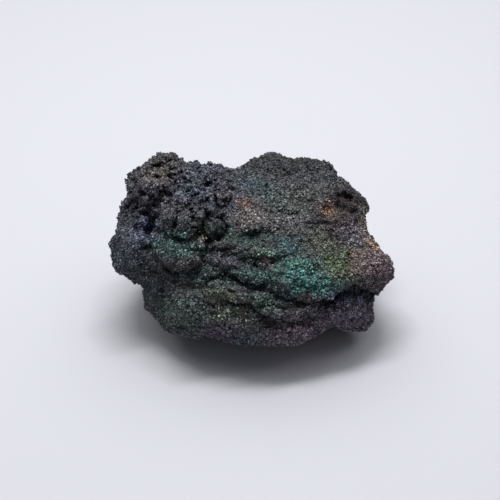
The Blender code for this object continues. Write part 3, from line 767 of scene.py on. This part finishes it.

# %% [markdown]
# ## The goethite's finish, with painted shade and glints
# Crust and grains are the same goethite, and share one finish. A single crystal shines like
# a dark metal, but a velvet of them catches most of that light between its tips, so what is left
# is a dim gloss: a rough surface, with a lower IOR than the crystal's own. The crust shows only
# between the grains, where little light comes back, so shade is painted on it: it is darker,
# and darker still in a gap. Fine dark seams part the crystals, and knots of crystals: painted
# shade, with painted glints between them. They could be cut into the mesh, but would need
# millions of triangles. Two Voronoi patterns draw them, which measure how far each spot is from
# the edge of its cell. The real seams are closer than can be seen from here, so they are drawn
# as coarse as they need to be to show.

# %% Painted shade in the seams between the crystals, and painted glints between them
# (a cell's size, half a seam's width, darkest, lightest), sizes in millimetres
SEAM_SHADE_AND_GLINTS = [(2.6, 0.3, 0.25, 1.1), (0.9, 0.16, 0.0, 1.6)]
SEAM_FLOOR = 0.2  # of a seam's half width is at its darkest
SEAM_WAVES, SEAM_WANDER = 2.0 * MM, 1.5 * MM  # of the seams' course


def add_seam_shade_and_glints(tree, level):
    """A brightness: painted shade along the seams, and painted glints between them."""
    place = add_node(tree, "ShaderNodeTexCoord").outputs["Object"]
    spot = wandering(tree, place, SEAM_WAVES, SEAM_WANDER, detail=3.0)
    for size, seam, darkest, lightest in SEAM_SHADE_AND_GLINTS:
        cells = add_node(tree, "ShaderNodeTexVoronoi", {"Vector": spot, "Scale": 1 / (size * MM)},
                         feature="DISTANCE_TO_EDGE")
        share = add_node(tree, "ShaderNodeMapRange",
                         {"Value": cells.outputs["Distance"], "From Min": SEAM_FLOOR * seam / size,
                          "From Max": seam / size, "To Min": darkest, "To Max": lightest})
        level = add_node(tree, "ShaderNodeMath", {0: level, 1: share.outputs[0]},
                         operation="MULTIPLY").outputs[0]
    return level


# %% Materials of the goethite
# painted shade: the crust is darker than the grains it shows between, and darker still in a gap
CRUST_PAINTED_SHADE, GAP_PAINTED_SHADE = 0.45, 0.25  # the crust's brightness, in the open and in a gap
GOETHITE_ROUGHNESS, GOETHITE_IOR = 0.6, 1.55


def new_material(name):
    """A material with no nodes yet, and its tree."""
    material = bpy.data.materials.new(name)
    material.use_nodes = True
    material.node_tree.nodes.clear()
    return material, material.node_tree


def goethite_material(name, of_grains):
    """Goethite with a dim gloss and painted shade. Each grain has its own brightness and drift."""
    material, tree = new_material(name)
    if of_grains:
        own = add_node(tree, "ShaderNodeAttribute", attribute_name="grain_shade")
        level = own.outputs["Fac"]
        own = add_node(tree, "ShaderNodeAttribute", attribute_name="grain_drift")
        drift = own.outputs["Vector"]
    else:
        # painted shade: the crust is darker deep in a gap
        deep = add_node(tree, "ShaderNodeAttribute", attribute_name="gap")
        kept = add_node(tree, "ShaderNodeMapRange",
                        {"Value": deep.outputs["Fac"], "To Min": CRUST_PAINTED_SHADE, "To Max": GAP_PAINTED_SHADE})
        level, drift = kept.outputs[0], (0.0, 0.0, 0.0)
    base = add_node(tree, "ShaderNodeGroup", {"Drift": drift}, node_tree=COLOURS)
    shaded = add_node(tree, "ShaderNodeVectorMath",
                      {0: base.outputs[0], "Scale": add_seam_shade_and_glints(tree, level)}, operation="SCALE")
    shader = add_node(tree, "ShaderNodeBsdfPrincipled",
                      {"Base Color": shaded.outputs[0], "Roughness": GOETHITE_ROUGHNESS,
                       "IOR": GOETHITE_IOR})
    add_node(tree, "ShaderNodeOutputMaterial", {"Surface": shader.outputs[0]})
    return material


lump.data.materials.clear()
lump.data.materials.append(goethite_material("Goethite, grown crust", of_grains=False))
grain_material = goethite_material("Goethite, druse crystals", of_grains=True)
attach(lump, "root")
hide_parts("goethite_specimen")
print("materials:", lump.data.materials[0].name, "and", grain_material.name)

# %% [markdown]
# ## The grains
# The druse is a velvet of crystals, most of them under half a millimetre. One is modelled: a
# five-sided splinter of 20 triangles. Geometry Nodes scatter it over the lump, each turned and
# stretched in its own way. Poisson scattering keeps them a set distance apart, as crystals that
# crowd each other are, and they are made real meshes. A particle system could scatter them too,
# but can't keep them apart. Each grain has its own brightness, lowered in the gaps as painted
# shade, and takes its colour from a little way off, so that neighbours differ.

# %% One splinter, and where the grains go
BASE_BARE = (0.6 * MM, 1.2 * MM)  # above the base, where grains start and where they are thick
MIDDLE = 0.5  # half the width over which the front's two pieces meet, in millimetres
GAP_BARE = 0.8  # the share of grains that are missing deep in a gap

bpy.ops.object.select_all(action="DESELECT")
bpy.ops.mesh.primitive_uv_sphere_add(segments=5, ring_count=3, radius=1.0)
splinter = bpy.context.object
print("a splinter:", triangles(splinter), "triangles")

points = read_points(lump.data)
on_base = ramp(points[:, 2], *BASE_BARE)
left = ramp(-face_coordinates(points)[0], -MIDDLE, MIDDLE)
crown, top, front, broken = kinds(points)
covers = {"crown": crown, "top": top, "front_left": front * left,
          "front_right": front * (1 - left), "back": broken}
for name, mask in covers.items():
    keep(lump.data, "cover_" + name, mask * on_base * (1 - GAP_BARE * gap))

print("grains go on:", *covers)

# %% How a grain is placed
GRAIN_DRIFT = 0.9 * MM  # how far off a grain may take its colour from
BRIGHTEST, DARKEST = 1.3, 0.3  # of the grains
# painted shade: grains are dimmer deep in a gap
GAP_PAINTED_SHADE_ON_GRAINS = 0.6  # a grain's brightness deep in a gap
CROWDED = 3.0  # spots tried in each square of the spacing, so that the spacing alone decides


def random_tone_and_painted_shade(tree, seed):
    """Mostly bright, with a few dark grains, and lower in the gaps as painted shade."""
    own = add_node(tree, "FunctionNodeRandomValue", {"Seed": seed}, data_type="FLOAT")
    squared = add_node(tree, "ShaderNodeMath", {0: own.outputs[1], 1: 2.0}, operation="POWER")
    spread = add_node(tree, "ShaderNodeMapRange",
                      {"Value": squared.outputs[0], "To Min": BRIGHTEST, "To Max": DARKEST})
    deep = add_node(tree, "GeometryNodeInputNamedAttribute", {"Name": "gap"}, data_type="FLOAT")
    kept = add_node(tree, "ShaderNodeMapRange",
                    {"Value": deep.outputs["Attribute"], "To Min": 1.0, "To Max": GAP_PAINTED_SHADE_ON_GRAINS})
    shade = add_node(tree, "ShaderNodeMath", {0: spread.outputs[0], 1: kept.outputs[0]},
                     operation="MULTIPLY")
    return shade.outputs[0]


def scatter_tree(cover, spacing, smallest, largest, seed):
    """Geometry nodes that put grains on a mesh, a set distance apart, sizes in millimetres."""
    tree = bpy.data.node_groups.new("Scatter " + cover, "GeometryNodeTree")
    tree.interface.new_socket("Geometry", in_out="INPUT", socket_type="NodeSocketGeometry")
    tree.interface.new_socket("Geometry", in_out="OUTPUT", socket_type="NodeSocketGeometry")
    mesh = add_node(tree, "NodeGroupInput").outputs[0]
    share = add_node(tree, "GeometryNodeInputNamedAttribute", {"Name": "cover_" + cover},
                     data_type="FLOAT")
    spots = add_node(
        tree, "GeometryNodeDistributePointsOnFaces",
        {"Mesh": mesh, "Distance Min": spacing * MM, "Density Max": CROWDED / (spacing * MM) ** 2,
         "Density Factor": share.outputs["Attribute"], "Seed": seed},
        distribute_method="POISSON",
    )
    # a drift, a turn and a size for each grain, between two ends, in X, Y and Z
    drift, turn, size = (
        add_node(tree, "FunctionNodeRandomValue",
                 {0: (low,) * 3, 1: (high,) * 3, "Seed": seed + after},
                 data_type="FLOAT_VECTOR").outputs[0]
        for low, high, after in [(-GRAIN_DRIFT, GRAIN_DRIFT, 2), (0.0, math.tau, 3),
                                 (smallest * MM / 2, largest * MM / 2, 4)]
    )
    kept = spots.outputs["Points"]
    for name, value, kind in [("grain_shade", random_tone_and_painted_shade(tree, seed + 1), "FLOAT"),
                              ("grain_drift", drift, "FLOAT_VECTOR")]:
        kept = add_node(tree, "GeometryNodeStoreNamedAttribute",
                        {"Geometry": kept, "Name": name, "Value": value},
                        data_type=kind, domain="POINT").outputs[0]
    one = add_node(tree, "GeometryNodeObjectInfo", {"Object": splinter})
    placed = add_node(tree, "GeometryNodeInstanceOnPoints",
                      {"Points": kept, "Instance": one.outputs["Geometry"], "Rotation": turn,
                       "Scale": size})
    real = add_node(tree, "GeometryNodeRealizeInstances", {0: placed.outputs[0]})
    add_node(tree, "NodeGroupOutput", {0: real.outputs[0]})
    return tree


# %% Scatter the grains
# (kind of surface, spacing, smallest, largest, seed), sizes in millimetres
GRAINS = [
    ("crown", 0.5, 0.4, 0.68, 10),
    ("top", 0.54, 0.35, 1.0, 20),
    ("front_left", 0.54, 0.3, 1.1, 30),
    ("front_right", 0.54, 0.35, 1.0, 40),
    ("back", 0.65, 0.3, 0.9, 50),
]

total = 0
for cover, *settings in GRAINS:
    piece = copied(lump, cover + "_grains")
    apply_modifier(piece, "NODES", node_group=scatter_tree(cover, *settings))
    piece.data.materials.clear()
    piece.data.materials.append(grain_material)
    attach(piece, "root")
    total += triangles(piece)
    print(piece.name, triangles(piece), "triangles")
print("grains in all:", total, "triangles")
bpy.data.objects.remove(splinter)

# %% [markdown]
# ## The floor, the light and the camera
# The lump stands on a pale sheet. Two area lamps light it: a small key lamp high above it, which
# gives the dark shadow under the front its soft edge, and a broad ceiling behind that, which
# fills the rest and draws a sheen on the knobs. A sun lamp would give the shadow a hard edge.
# The camera looks down at the same slope as the druse face, so that it sees it straight on.

# %% Floor
FLOOR_SIZE = 4.0  # metres

bpy.ops.object.select_all(action="DESELECT")
bpy.ops.mesh.primitive_plane_add(size=FLOOR_SIZE, location=(0, 0, 0))
floor = bpy.context.object
floor.name = "paper_floor"
# uncoated paper: matt, so that it takes soft shadows and shows no reflection
paper, tree = new_material("Matt white paper")
shader = add_node(tree, "ShaderNodeBsdfPrincipled",
                  {"Base Color": colour("#d3d4da"), "Roughness": 0.9})
add_node(tree, "ShaderNodeOutputMaterial", {"Surface": shader.outputs[0]})
floor.data.materials.append(paper)
print("floor:", FLOOR_SIZE, "m across")

# %% Light
SKY, SKY_STRENGTH = "#e6e8f4", 0.15  # the little light that comes from all round
LIT = Vector((0, 0, 0.02))  # where the lamps point, in metres

world = bpy.data.worlds.new("Soft studio")
bpy.context.scene.world = world
world.use_nodes = True
world.node_tree.nodes["Background"].inputs["Color"].default_value = colour(SKY)
world.node_tree.nodes["Background"].inputs["Strength"].default_value = SKY_STRENGTH
bpy.context.scene.view_settings.view_transform = "Standard"


def area_light(name, place, size, power):
    """A rectangular lamp, with its place and size in metres and its power in watts."""
    light = bpy.data.objects.new(name, bpy.data.lights.new(name, "AREA"))
    bpy.context.collection.objects.link(light)
    light.data.shape = "RECTANGLE"
    light.data.size, light.data.size_y = size
    light.data.energy = power
    light.location = place
    light.rotation_mode = "QUATERNION"
    light.rotation_quaternion = (LIT - Vector(place)).to_track_quat("-Z", "Y")
    print(name, "lamp:", power, "W")


area_light("key", (-0.02, 0.055, 0.5), (0.3, 0.06), 1.6)
area_light("ceiling", (0.0, 0.22, 0.6), (1.3, 0.8), 4.2)

# %% Camera
CAMERA_DISTANCE = DRAWN_FROM * MM
FRAME_WIDTH = 140.85 * MM  # how much the view spans at the face's middle
SENSOR_MM = 36.0

camera = bpy.data.objects.new("Camera", bpy.data.cameras.new("Camera"))
bpy.context.collection.objects.link(camera)
bpy.context.scene.camera = camera
camera.data.sensor_width = SENSOR_MM
camera.data.lens = SENSOR_MM * CAMERA_DISTANCE / FRAME_WIDTH
camera.data.clip_start = 0.01
towards = Vector((0, -math.cos(FACE_RISE), math.sin(FACE_RISE)))
camera.location = Vector(FACE_ORIGIN * MM) + CAMERA_DISTANCE * towards
camera.rotation_mode = "QUATERNION"
camera.rotation_quaternion = (-towards).to_track_quat("-Z", "Y")
print("lens:", round(camera.data.lens, 1), "mm")
